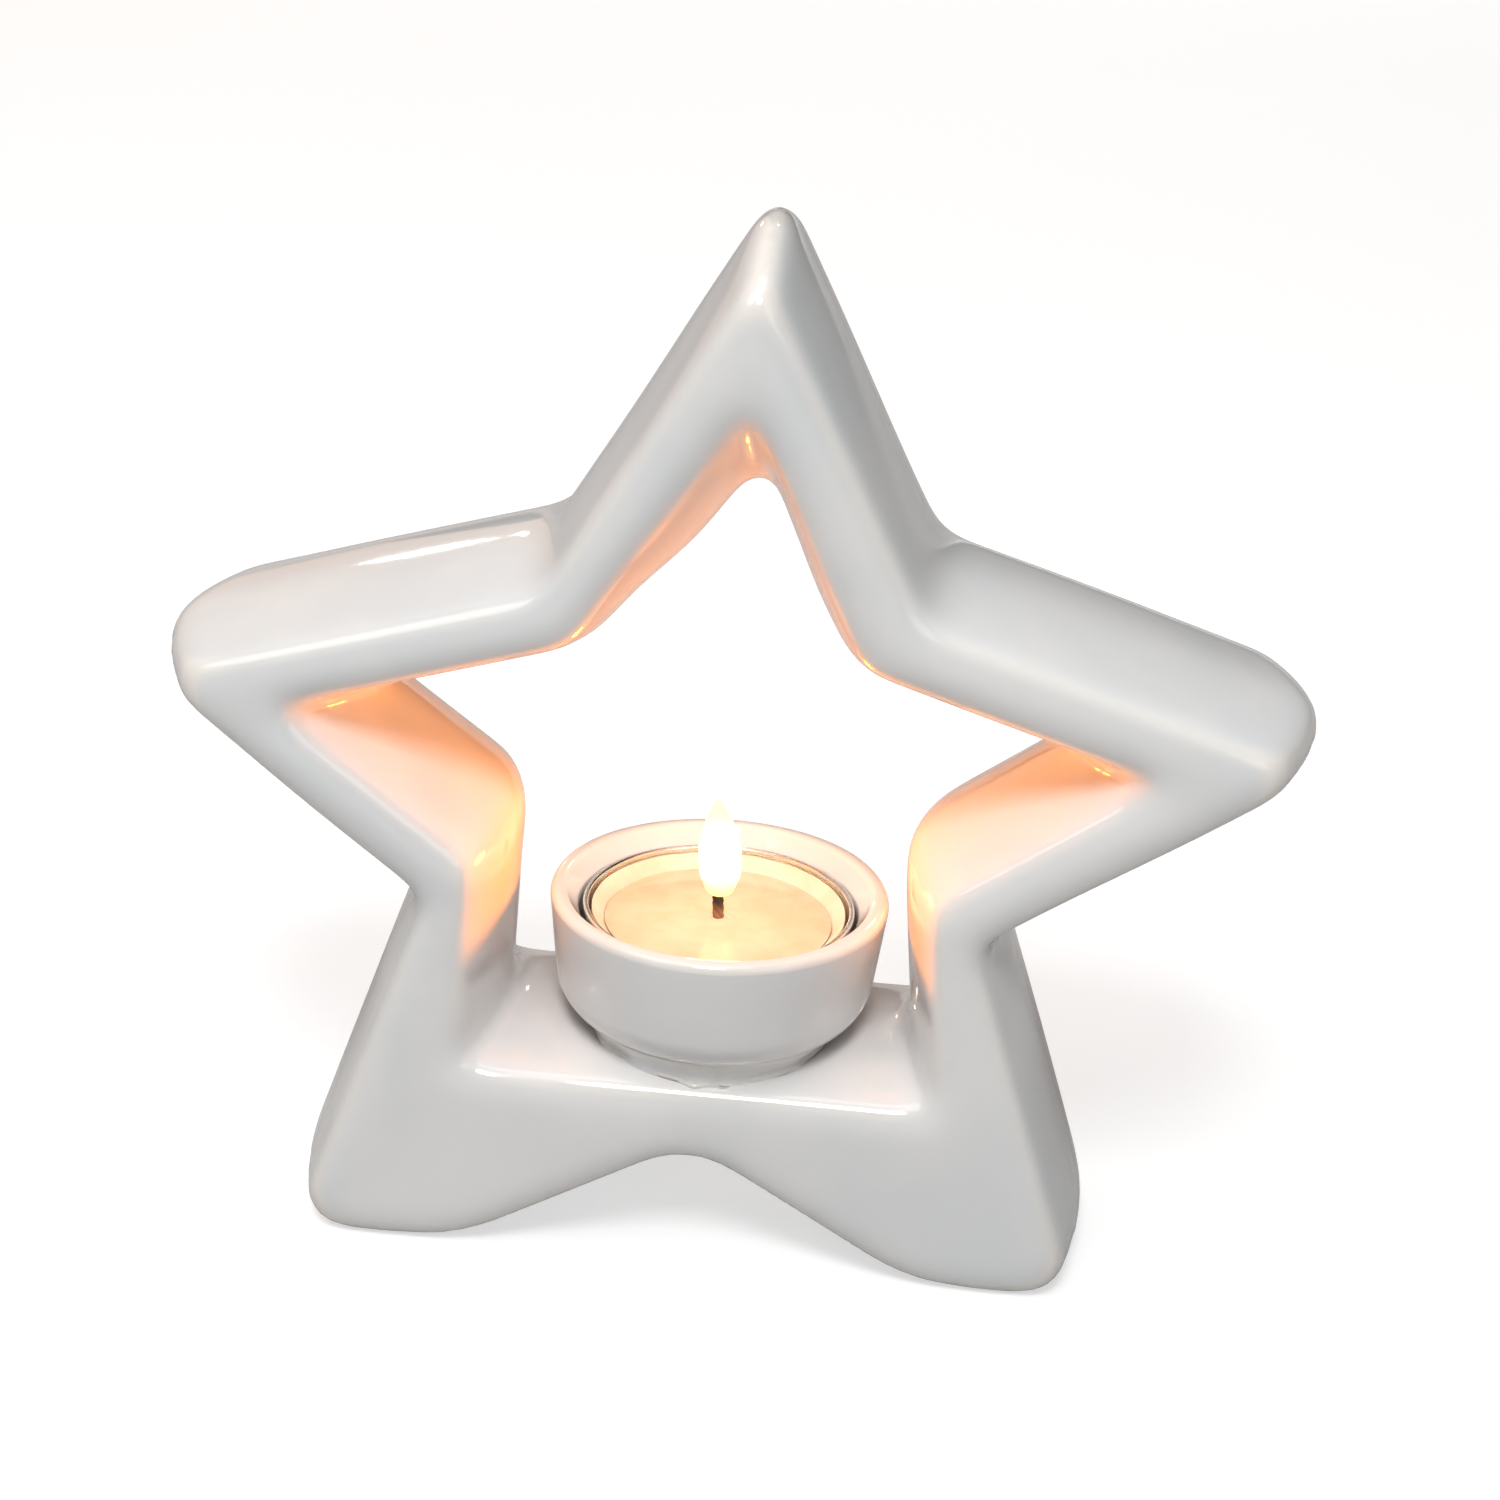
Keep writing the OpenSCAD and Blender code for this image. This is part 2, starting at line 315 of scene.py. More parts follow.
@dataclass(frozen=True)
class Glaze:
    """Glossy glaze over a cast body: cooler where it pools; lighter and warmer along convex edges, where
    the glaze thins and a warm sheen is painted.
    """

    name: str
    body: Colour = (0.72, 0.715, 0.705)
    pooled: Colour = (0.66, 0.672, 0.675)
    # Colour of convex edges: partly the glaze thinning there, partly a painted warm sheen
    thin_glaze_and_sheen: Colour = (0.78, 0.745, 0.70)
    pinhole: Colour = (0.22, 0.17, 0.13)
    roughness: float = 0.075
    waviness: float = 0.12
    patch_scale: float = 38.0

    def material(self) -> bpy.types.Material:
        """Makes the glaze, which reads the convex-edge attribute of the pieces that wear it.

        Returns:
            The material.
        """
        material, graph, shader = new_material(self.name)
        clouds = Groups.place(graph, clouds_group, Scale=self.patch_scale, Fine=420.0)
        holes = Groups.place(graph, specks_group, Scale=62.0, Size=0.022, Share=0.1)
        thin_glaze_and_sheen = graph.add("Attribute", attribute_name="thin_glaze_and_sheen").outputs["Fac"]
        colour = graph.mixed(clouds["Patches"], solid(self.body), solid(self.pooled))
        # Convex edges take the lighter, warmer colour: thinning glaze plus a painted warm edge sheen
        colour = graph.mixed(graph.remapped(thin_glaze_and_sheen, 0.35, 1.0), colour, solid(self.thin_glaze_and_sheen))
        colour = graph.mixed(holes["Specks"], colour, solid(self.pinhole))
        rough = graph.remapped(clouds["Patches"], 0.0, 1.0, self.roughness * 0.75, self.roughness * 1.3)
        height = graph.maths("SUBTRACT", clouds["Height"], graph.maths("MULTIPLY", holes["Specks"], 0.5))
        bump = graph.add("Bump", {"Height": height, "Strength": self.waviness, "Distance": 0.6 * MM})
        set_linked(graph, shader, Base_Color=colour, Roughness=rough, Normal=bump.outputs[0])
        set_plain(shader, IOR=1.52, Coat_Weight=0.35, Coat_Roughness=0.04, Coat_IOR=1.5)
        return material


@dataclass(frozen=True)
class Wax:
    """Paraffin wax: cloudy when solid, clear and smooth when melted."""

    name: str
    body: Colour = (0.76, 0.63, 0.46)
    cloud: Colour = (0.82, 0.70, 0.54)
    soot: Colour = (0.25, 0.18, 0.12)
    roughness: float = 0.42
    relief: float = 0.25
    glow: float = 0.35
    soot_share: float = 0.05

    def material(self) -> bpy.types.Material:
        """Makes the wax.

        Returns:
            The material.
        """
        material, graph, shader = new_material(self.name)
        clouds = Groups.place(graph, clouds_group, Scale=210.0, Fine=1500.0)
        soot = Groups.place(graph, specks_group, Scale=320.0, Size=0.05, Share=self.soot_share)
        colour = graph.mixed(clouds["Patches"], solid(self.body), solid(self.cloud))
        colour = graph.mixed(soot["Specks"], colour, solid(self.soot))
        rough = graph.remapped(clouds["Patches"], 0.0, 1.0, self.roughness * 0.7, self.roughness * 1.2)
        bump = graph.add("Bump", {"Height": clouds["Height"], "Strength": self.relief,
                                  "Distance": 0.2 * MM})
        set_linked(graph, shader, Base_Color=colour, Roughness=rough, Normal=bump.outputs[0])
        set_plain(shader, IOR=1.44, Subsurface_Weight=self.glow, Subsurface_Scale=2.0 * MM,
                  Subsurface_Radius=(1.0, 0.7, 0.4))
        return material


@dataclass(frozen=True)
class Metal:
    """Thin pressed metal with drawing marks around its axis and small creases."""

    name: str
    body: Colour = (0.93, 0.925, 0.92)
    dull: Colour = (0.84, 0.835, 0.83)
    roughness: float = 0.26
    lines: float = 900.0

    def material(self) -> bpy.types.Material:
        """Makes the metal.

        Returns:
            The material.
        """
        material, graph, shader = new_material(self.name)
        clouds = Groups.place(graph, clouds_group, Scale=260.0, Fine=2400.0)
        place = graph.add("TexCoord").outputs["Object"]
        drawn = graph.add("TexWave", {"Vector": place, "Scale": self.lines, "Distortion": 1.2,
                                      "Detail": 2.0}, wave_type="BANDS", bands_direction="Z")
        colour = graph.mixed(clouds["Patches"], solid(self.body), solid(self.dull))
        rough = graph.remapped(drawn.outputs["Fac"], 0.0, 1.0, self.roughness * 0.7, self.roughness * 1.3)
        height = graph.maths("ADD", clouds["Height"], graph.maths("MULTIPLY", drawn.outputs["Fac"], 0.08))
        bump = graph.add("Bump", {"Height": height, "Strength": 0.3, "Distance": 0.12 * MM})
        set_linked(graph, shader, Base_Color=colour, Roughness=rough, Normal=bump.outputs[0])
        set_plain(shader, Metallic=1.0)
        return material


@dataclass(frozen=True)
class WickCotton:
    """Braided cotton soaked with wax below, charred towards its tip."""

    name: str
    char_from: float
    char_to: float
    fresh: Colour = (0.42, 0.20, 0.09)
    char: Colour = (0.03, 0.02, 0.016)
    strand_shade: float = 0.7

    def material(self) -> bpy.types.Material:
        """Makes the cotton.

        Returns:
            The material.
        """
        material, graph, shader = new_material(self.name)
        place = graph.add("TexCoord").outputs["Object"]
        braid = graph.add("TexWave", {"Vector": place, "Scale": 520.0, "Distortion": 2.0, "Detail": 1.0},
                          wave_type="BANDS", bands_direction="DIAGONAL")
        height = graph.add("SeparateXYZ", {0: place}).outputs["Z"]
        burnt = graph.remapped(height, self.char_from, self.char_to)
        shaded = tuple(self.strand_shade * c for c in self.fresh)
        strands = graph.mixed(braid.outputs["Fac"], solid(shaded), solid(self.fresh))
        colour = graph.mixed(burnt, strands, solid(self.char))
        bump = graph.add("Bump", {"Height": braid.outputs["Fac"], "Strength": 0.6, "Distance": 0.15 * MM})
        set_linked(graph, shader, Base_Color=colour, Normal=bump.outputs[0])
        set_plain(shader, Roughness=0.8)
        return material


@dataclass(frozen=True)
class Fire:
    """The flame's glow, yellow-white with a fainter orange foot and tip."""

    name: str
    low: float
    high: float
    foot: Colour = (1.0, 0.5, 0.2)
    heart: Colour = (1.0, 0.9, 0.7)
    tip: Colour = (1.0, 0.6, 0.32)
    strength: float = 1.5

    def material(self) -> bpy.types.Material:
        """Makes the glow.

        Returns:
            The material.
        """
        material, graph, shader = new_material(self.name)
        place = graph.add("TexCoord").outputs["Object"]
        height = graph.add("SeparateXYZ", {0: place}).outputs["Z"]
        span = self.high - self.low
        rising = graph.remapped(height, self.low, self.low + 0.35 * span)
        fading = graph.remapped(height, self.low + 0.6 * span, self.low + 0.92 * span)
        colour = graph.mixed(rising, solid(self.foot), solid(self.heart))
        colour = graph.mixed(fading, colour, solid(self.tip))
        set_linked(graph, shader, Emission_Color=colour)
        set_plain(shader, Base_Color=solid((0.9, 0.6, 0.3)), Roughness=1.0,
                  Emission_Strength=self.strength)
        return material


@dataclass(frozen=True)
class Ground:
    """Plain pale studio floor, lifted towards white where it is seen directly."""

    name: str = "pale_floor"
    body: Colour = (0.5, 0.5, 0.5)
    patch_shade: float = 0.985
    lift: float = 0.6

    def material(self) -> bpy.types.Material:
        """Makes the floor's finish.

        Returns:
            The material.
        """
        material, graph, shader = new_material(self.name)
        grain = Groups.place(graph, clouds_group, Scale=3.0, Fine=300.0)
        darker = tuple(self.patch_shade * c for c in self.body)
        colour = graph.mixed(grain["Patches"], solid(self.body), solid(darker))
        seen = graph.add("LightPath").outputs["Is Camera Ray"]
        shown = graph.mixed(seen, solid(BLACK), solid(WHITE))
        set_linked(graph, shader, Base_Color=colour, Emission_Color=shown)
        set_plain(shader, Roughness=0.85, Emission_Strength=self.lift)
        return material


# ---- Mesh helpers -------------------------------------------------------------------------------


@dataclass(frozen=True)
class Corner:
    """One corner of a turned outline: radius, height, and the radius that rounds it."""

    r: float
    z: float
    rounding: float = 0.0


def turned(corners: list[Corner], closed: bool, steps: int = 128, segments: int = 6) -> bmesh.types.BMesh:
    """Turns an outline around the Z axis and rounds its corners.

    Args:
        corners: The outline in order.
        closed: Whether the last corner joins the first one; otherwise both ends are on the axis.
        steps: Number of steps around.
        segments: Segments of each rounded corner.

    Returns:
        The closed mesh with its faces pointing outwards.
    """
    bm = bmesh.new()
    verts = [bm.verts.new((c.r, 0.0, c.z)) for c in corners]
    pairs = list(zip(verts, verts[1:] + verts[:1])) if closed else list(zip(verts, verts[1:]))
    edges = [bm.edges.new(pair) for pair in pairs]
    bmesh.ops.spin(bm, geom=verts + edges, cent=(0, 0, 0), axis=(0, 0, 1), dvec=(0, 0, 0),
                   angle=math.tau, steps=steps, use_merge=True, use_duplicate=False)
    bmesh.ops.remove_doubles(bm, verts=bm.verts, dist=1e-7)
    count = len(corners)
    for i, corner in enumerate(corners):
        if corner.rounding > 0:
            before, after = corners[i - 1], corners[(i + 1) % count]
            u = Vector((before.r - corner.r, before.z - corner.z)).normalized()
            v = Vector((after.r - corner.r, after.z - corner.z)).normalized()
            half = math.acos(max(-1.0, min(1.0, u.dot(v)))) / 2
            round_ring(bm, corner, corner.rounding / math.tan(half), segments)
    bmesh.ops.recalc_face_normals(bm, faces=bm.faces)
    return bm


def round_ring(bm: bmesh.types.BMesh, corner: Corner, offset: float, segments: int) -> None:
    """Bevels the ring of edges that one corner left.

    Args:
        bm: The turned mesh.
        corner: The corner.
        offset: Distance from the ring to where the rounding starts.
        segments: Segments of the rounding.
    """
    near = 1e-6
    ring = {v for v in bm.verts
            if abs(math.hypot(v.co.x, v.co.y) - corner.r) < near and abs(v.co.z - corner.z) < near}
    edges = [e for e in bm.edges if e.verts[0] in ring and e.verts[1] in ring]
    bmesh.ops.bevel(bm, geom=edges, offset=offset, offset_type="OFFSET", affect="EDGES",
                    segments=segments, profile=0.5, material=-1, clamp_overlap=True)


def wobble(bm: bmesh.types.BMesh, scale: float, amount: float, seed: float) -> None:
    """Moves a mesh's points a little along their normals, as handwork does.

    Args:
        bm: The mesh.
        scale: Bumps per metre.
        amount: Largest move in metres.
        seed: Offset in the noise that makes each piece different.
    """
    bm.normal_update()
    shift = Vector((seed, 2 * seed, 3 * seed))
    moves = [v.normal * amount * noise.noise(v.co * scale + shift) for v in bm.verts]
    for vert, move in zip(bm.verts, moves):
        vert.co += move


def eased(share: float) -> float:
    """Returns a share from 0 to 1 that starts and ends gently."""
    return share * share * (3 - 2 * share)


def along_stations(stations: tuple[tuple[float, float], ...], place: float) -> float:
    """Finds the value at a place between stations, eased from one to the next.

    Args:
        stations: Pairs of a place and a value, in order of place.
        place: Where the value is wanted; beyond the ends it is the end value.

    Returns:
        The value.
    """
    for (start, first), (end, second) in zip(stations, stations[1:]):
        if place < end:
            share = max(0.0, (place - start) / (end - start))
            return first + (second - first) * eased(share)
    return stations[-1][1]


def mark_convex_edges(bm: bmesh.types.BMesh, reach: float, rounds: int) -> None:
    """Stores in an attribute how convex the surface is, 0 in hollows and 1 on edges; glazes use it for
    their thinning glaze and their painted warm edge sheen.

    Args:
        bm: The mesh.
        reach: Radius in metres of an edge that counts as fully convex.
        rounds: Number of times the values are averaged with their neighbours'.
    """
    bm.normal_update()
    layer = bm.verts.layers.float.new("thin_glaze_and_sheen")
    values = {}
    for vert in bm.verts:
        bends = [2 * (vert.co - e.other_vert(vert).co).dot(vert.normal) / max(e.calc_length(), 1e-9) ** 2
                 for e in vert.link_edges]
        values[vert] = sum(bends) / max(len(bends), 1)
    for _ in range(rounds):
        values = {v: 0.5 * x + 0.5 * sum(values[e.other_vert(v)] for e in v.link_edges)
                  / max(len(v.link_edges), 1) for v, x in values.items()}
    for vert, value in values.items():
        vert[layer] = max(0.0, min(1.0, value * reach))


def placed(name: str, data: bpy.types.ID) -> bpy.types.Object:
    """Puts a mesh, a light or a camera into the scene.

    Args:
        name: The object's name.
        data: What the object shows.

    Returns:
        The object, at the origin.
    """
    made = bpy.data.objects.new(name, data)
    bpy.context.scene.collection.objects.link(made)
    return made


def remeshed(bm: bmesh.types.BMesh, voxel: float) -> bmesh.types.BMesh:
    """Gives a closed mesh an even net of small faces.

    Args:
        bm: The mesh, which is freed.
        voxel: Size of the faces in metres.

    Returns:
        The new mesh.
    """
    rough = bpy.data.meshes.new("rough")
    bm.to_mesh(rough)
    bm.free()
    holder = placed("rough", rough)
    modifier = holder.modifiers.new("net", "REMESH")
    modifier.mode = "VOXEL"
    modifier.voxel_size = voxel
    evaluated = holder.evaluated_get(bpy.context.evaluated_depsgraph_get())
    made = bpy.data.meshes.new_from_object(evaluated)
    bpy.data.objects.remove(holder)
    net = bmesh.new()
    net.from_mesh(made)
    bpy.data.meshes.remove(made)
    bpy.data.meshes.remove(rough)
    return net


def finish_piece(bm: bmesh.types.BMesh, name: str, material: bpy.types.Material, body: Body,
                 nodes: tuple[str, ...] = ()) -> bpy.types.Object:
    """Turns a mesh into a finished piece of the scene.

    Args:
        bm: The mesh, which is freed.
        name: The piece's name.
        material: Its material.
        body: The body that it rides on.
        nodes: The CAD nodes that it stands for.

    Returns:
        The piece.
    """
    mesh = bpy.data.meshes.new(name)
    for face in bm.faces:
        face.smooth = True
    bm.to_mesh(mesh)
    bm.free()
    mesh.materials.append(material)
    piece = placed(name, mesh)
    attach(piece, body.value)
    if nodes:
        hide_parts(*nodes)
    LOG.info("%s: %d faces", name, len(mesh.polygons))
    return piece


# ---- The glazed star ----------------------------------------------------------------------------


@dataclass
class StarCasting:
    """The slip-cast star: softly rounded, a little lopsided, with two vent holes under its feet."""

    node: str = "star_body"
    voxel: float = 0.9 * MM
    soften_rounds: int = 26
    vent_r: float = 2.0 * MM
    vent_x: float = 45.25 * MM
    vent_h: float = 4.0 * MM
    unevenness: float = 0.3 * MM
    uneven_scale: float = 34.0
    uneven_seed: float = 4.7
    edge_r: float = 5.0 * MM
    hub_z: float = 79.0 * MM
    sectors: int = 240
    # How far the outside and the window are pulled to the right, as (height, shift)
    outer_pull: tuple[tuple[float, float], ...] = (
        (0.0, -1.3 * MM), (54.0 * MM, -1.2 * MM), (86.0 * MM, 1.3 * MM),
        (104.0 * MM, 1.3 * MM), (152.0 * MM, 2.4 * MM),
    )
    window_pull: tuple[tuple[float, float], ...] = (
        (32.0 * MM, -0.6 * MM), (56.0 * MM, -1.2 * MM), (100.0 * MM, -0.9 * MM), (125.0 * MM, 1.2 * MM),
    )
    # How far the window's upper walls move at mid depth, as (right, up), and the heights where that
    # starts and where it is full
    swell: tuple[float, float] = (2.0 * MM, -3.5 * MM)
    swell_from: float = 92.0 * MM
    swell_full: float = 112.0 * MM

    def in_vent(self, face: bmesh.types.BMFace) -> bool:
        """Tells whether a face is part of a vent hole's wall.

        Args:
            face: A face of the CAD star.

        Returns:
            True if all its corners are in one of the two holes.
        """
        slack = 0.1 * MM
        return all(math.hypot(abs(v.co.x) - self.vent_x, v.co.y) < self.vent_r + slack
                   and v.co.z < self.vent_h for v in face.verts)

    def outside(self) -> bmesh.types.BMesh:
        """Copies the CAD star's outside and closes the vent holes inside its wall.

        Returns:
            The closed outer surface.
        """
        bm = bmesh.new()
        bm.from_mesh(frame["nodes"][self.node].data)
        bmesh.ops.remove_doubles(bm, verts=bm.verts, dist=1e-6)
        highest = max(bm.verts, key=lambda v: v.co.z)
        kept = set(highest.link_faces)
        queue = list(kept)
        while queue:
            face = queue.pop()
            in_wall = self.in_vent(face)
            for edge in face.edges:
                for other in edge.link_faces:
                    if other not in kept and (not in_wall or self.in_vent(other)):
                        kept.add(other)
                        queue.append(other)
        bmesh.ops.delete(bm, geom=[f for f in bm.faces if f not in kept], context="FACES")
        open_edges = [e for e in bm.edges if e.is_boundary]
        bmesh.ops.holes_fill(bm, edges=open_edges, sides=0)
        return bm

    def pull_aside(self, bm: bmesh.types.BMesh) -> None:
        """Makes the star a little lopsided, the outside and the window each by its own shift.

        Args:
            bm: The star's even mesh.
        """
        half_depth = max(v.co.y for v in bm.verts)
        nearest = [math.inf] * self.sectors
        farthest = [0.0] * self.sectors
        polar = []
        for vert in bm.verts:
            rise = vert.co.z - self.hub_z
            turn = math.atan2(rise, vert.co.x) / math.tau + 0.5
            sector = int(turn * self.sectors) % self.sectors
            reach = math.hypot(vert.co.x, rise)
            nearest[sector] = min(nearest[sector], reach)
            farthest[sector] = max(farthest[sector], reach)
            polar.append((sector, reach))
        for vert, (sector, reach) in zip(bm.verts, polar):
            share = (reach - nearest[sector]) / max(farthest[sector] - nearest[sector], MM)
            share = eased(min(1.0, share))
            outer = along_stations(self.outer_pull, vert.co.z)
            window = along_stations(self.window_pull, vert.co.z)
            rising = (vert.co.z - self.swell_from) / (self.swell_full - self.swell_from)
            swollen = (1 - share) * eased(max(0.0, min(1.0, rising)))
            swollen *= max(0.0, 1 - (vert.co.y / half_depth) ** 2)
            vert.co.x += share * outer + (1 - share) * window + swollen * self.swell[0]
            vert.co.z += swollen * self.swell[1]

    def build(self, glaze: bpy.types.Material) -> bpy.types.Object:
        """Builds and dresses the star.

        Args:
            glaze: The glaze's material.

        Returns:
            The piece.
        """
        bm = remeshed(self.outside(), self.voxel)
        self.pull_aside(bm)
        for _ in range(self.soften_rounds):
            bmesh.ops.smooth_vert(bm, verts=bm.verts, factor=0.5, use_axis_x=True, use_axis_y=True,
                                  use_axis_z=True)
        wobble(bm, self.uneven_scale, self.unevenness, self.uneven_seed)
        mark_convex_edges(bm, self.edge_r, 6)
        return finish_piece(bm, "star_casting", glaze, Body.HOLDER, (self.node,))


# ---- The cup and its slip -----------------------------------------------------------------------


@dataclass
class Cup:
    """The thrown cup: a low bowl with a soft rim, luted to the shelf."""

    node: str = "tealight_cup"
    wall: float = 4.5 * MM
    foot_r: float = 16.5 * MM
    floor: float = 4.6 * MM
    foot_edge_r: float = 0.8 * MM
    belly_in: float = 1.9 * MM
    belly_h: float = 4.6 * MM
    belly_r: float = 6.5 * MM
    rim_r: float = 1.3 * MM
    lip_r: float = 1.2 * MM
    lip_run: float = 2.1 * MM
    lip_depth: float = 3.2 * MM
    lip_end_r: float = 2.0 * MM
    bore_draft: float = 0.1 * MM
    floor_r: float = 1.5 * MM
    mesh_size: float = 2.6 * MM
    unevenness: float = 0.2 * MM
    uneven_scale: float = 45.0
    uneven_seed: float = 11.0
    edge_r: float = 3.0 * MM

    def build(self, glaze: bpy.types.Material) -> bpy.types.Object:
        """Builds and dresses the cup.

        Args:
            glaze: The glaze's material.

        Returns:
            The piece.
        """
        low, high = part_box(self.node)
        rim = (high.x - low.x) / 2
        bore = rim - self.wall
        corners = [
            Corner(0.0, low.z),
            Corner(self.foot_r, low.z, self.foot_edge_r),
            Corner(rim - self.belly_in, low.z + self.belly_h, self.belly_r),
            Corner(rim, high.z, self.rim_r),
            Corner(bore + self.lip_run, high.z, self.lip_r),
            Corner(bore, high.z - self.lip_depth, self.lip_end_r),
            Corner(bore - self.bore_draft, low.z + self.floor, self.floor_r),
            Corner(0.0, low.z + self.floor),
        ]
        bm = turned(corners, closed=False, steps=144, segments=8)
        bmesh.ops.subdivide_edges(bm, edges=long_edges(bm, self.mesh_size), cuts=2, use_grid_fill=True)
        wobble(bm, self.uneven_scale, self.unevenness, self.uneven_seed)
        mark_convex_edges(bm, self.edge_r, 3)
        return finish_piece(bm, "cup_bowl", glaze, Body.HOLDER, (self.node,))


def long_edges(bm: bmesh.types.BMesh, length: float) -> list[bmesh.types.BMEdge]:
    """Returns the upright edges that are longer than a length, away from the axis."""
    return [e for e in bm.edges
            if e.calc_length() > length and abs(e.verts[0].co.z - e.verts[1].co.z) > 0.5 * length]


@dataclass
class LutingBead:
    """The slender seam of slip around the cup's foot, with a few small runs towards the shelf's edge."""

    node: str = "luting_slip"
    cup_node: str = "tealight_cup"
    inner_r: float = 15.0 * MM
    base_r: float = 18.2 * MM
    top_r: float = 20.1 * MM
    toe: float = 0.4 * MM
    toe_r: float = 0.3 * MM
    waist_share: float = 0.3
    waist_r: float = 1.6 * MM
    brim_r: float = 0.1 * MM
    lift: float = 2.85 * MM
    seam_h: float = 3.4 * MM
    sunk: float = 0.5 * MM
    unevenness: float = 0.15 * MM
    uneven_scale: float = 160.0
    uneven_seed: float = 2.3
    convex_reach: float = 1.5 * MM
    # Small runs of slip, as (angle, half width in degrees, reach)
    runs: tuple[tuple[float, float, float], ...] = (
        (-92.0, 4.0, 0.55 * MM),
        (-79.0, 3.0, 0.4 * MM),
        (-118.0, 6.0, 0.5 * MM),
        (-48.0, 8.0, 0.7 * MM),
        (-140.0, 6.0, 0.6 * MM),
        (75.0, 8.0, 0.6 * MM),
    )
    # The shelf's shape: its height at mid depth, its fall to where its rounded edge starts, and the edge
    crown: float = 32.6 * MM
    fall: float = 3.2 * MM
    flank: float = 18.3 * MM
    edge_r: float = 2.2 * MM
    power: float = 1.7

    def shelf_height(self, y: float) -> float:
        """Works out the height of the crowned shelf and its rounded edge.

        Args:
            y: Depth from the middle of the shelf.

        Returns:
            The height there.
        """
        past = min(max(0.0, abs(y) - self.flank), self.edge_r)
        edge_drop = self.edge_r - math.sqrt(self.edge_r**2 - past**2)
        return self.crown - self.fall * min(1.0, abs(y) / self.flank) ** self.power - edge_drop

    def run_at(self, angle: float) -> float:
        """Adds up the runs of slip.

        Args:
            angle: Direction from the cup's axis in degrees.

        Returns:
            How far the slip has run out beyond its usual reach there.
        """
        total = 0.0
        for middle, width, amount in self.runs:
            away = (angle - middle + 180) % 360 - 180
            total += amount * math.exp(-((away / width) ** 2))
        return total

    def build(self, glaze: bpy.types.Material) -> bpy.types.Object:
        """Builds and dresses the seam.

        Args:
            glaze: The slip's material.

        Returns:
            The piece.
        """
        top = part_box(self.cup_node)[0].z + self.lift
        corners = [
            Corner(self.inner_r, 0.0),
            Corner(self.base_r + self.toe, 0.0, self.toe_r),
            Corner(self.base_r, self.waist_share * self.seam_h, self.waist_r),
            Corner(self.top_r, self.seam_h, self.brim_r),
            Corner(self.inner_r, self.seam_h),
        ]
        bm = turned(corners, closed=True, steps=180, segments=6)
        for vert in bm.verts:
            angle = math.degrees(math.atan2(vert.co.y, vert.co.x))
            spread = math.hypot(vert.co.x, vert.co.y)
            raised = vert.co.z / self.seam_h
            if spread > self.inner_r + MM:
                spread += (1.0 - raised) * self.run_at(angle)
            direction = Vector((vert.co.x, vert.co.y, 0.0)).normalized()
            flat = direction * spread
            bottom = self.shelf_height(flat.y) - self.sunk
            vert.co = Vector((flat.x, flat.y, bottom + raised * (top - bottom)))
        wobble(bm, self.uneven_scale, self.unevenness, self.uneven_seed)
        mark_convex_edges(bm, self.convex_reach, 2)
        return finish_piece(bm, "luting_bead", glaze, Body.HOLDER, (self.node,))


# ---- The tealight -------------------------------------------------------------------------------


